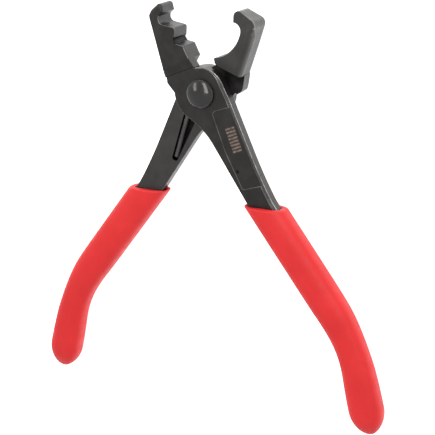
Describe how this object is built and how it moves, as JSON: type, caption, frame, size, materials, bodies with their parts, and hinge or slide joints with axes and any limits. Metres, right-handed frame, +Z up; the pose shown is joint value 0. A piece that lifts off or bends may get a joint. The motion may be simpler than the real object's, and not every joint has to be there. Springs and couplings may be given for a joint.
{
  "type": "hose clamp pliers",
  "caption": "Spring-opened lap-joint pliers with a notched jaw, a hooked jaw and dipped grips, for closing and opening clip-type hose clamps.",
  "frame": {"origin": "on the pivot axis, at the flat rear face of the rivet", "axes": "the pliers lie on their back: +X to the right, +Y towards the jaws, +Z up out of the domed front face of the rivet"},
  "size_m": [0.1506, 0.1585, 0.0144],
  "materials": {
    "black_steel": "satin black oxide over ground steel",
    "rivet_steel": "glossy black",
    "spring_steel": "dark drawn wire",
    "red_vinyl": "matte dipped vinyl"
  },
  "bodies": {
    "front": {"front_half": "black_steel", "pivot_rivet": "rivet_steel", "return_spring": "spring_steel", "front_grip": "red_vinyl"},
    "rear": {"rear_half": "black_steel", "rear_grip": "red_vinyl"}
  },
  "joints": [
    {"name": "jaw_pivot", "type": "hinge", "parent": "front", "child": "rear", "pos_m": [0, 0, 0.0056], "axis": [0, 0, 1], "range_deg": [0, 42], "stiffness_Nm_per_rad": 0.4, "springref_deg": -28.65, "deforming": ["return_spring"]}
  ]
}
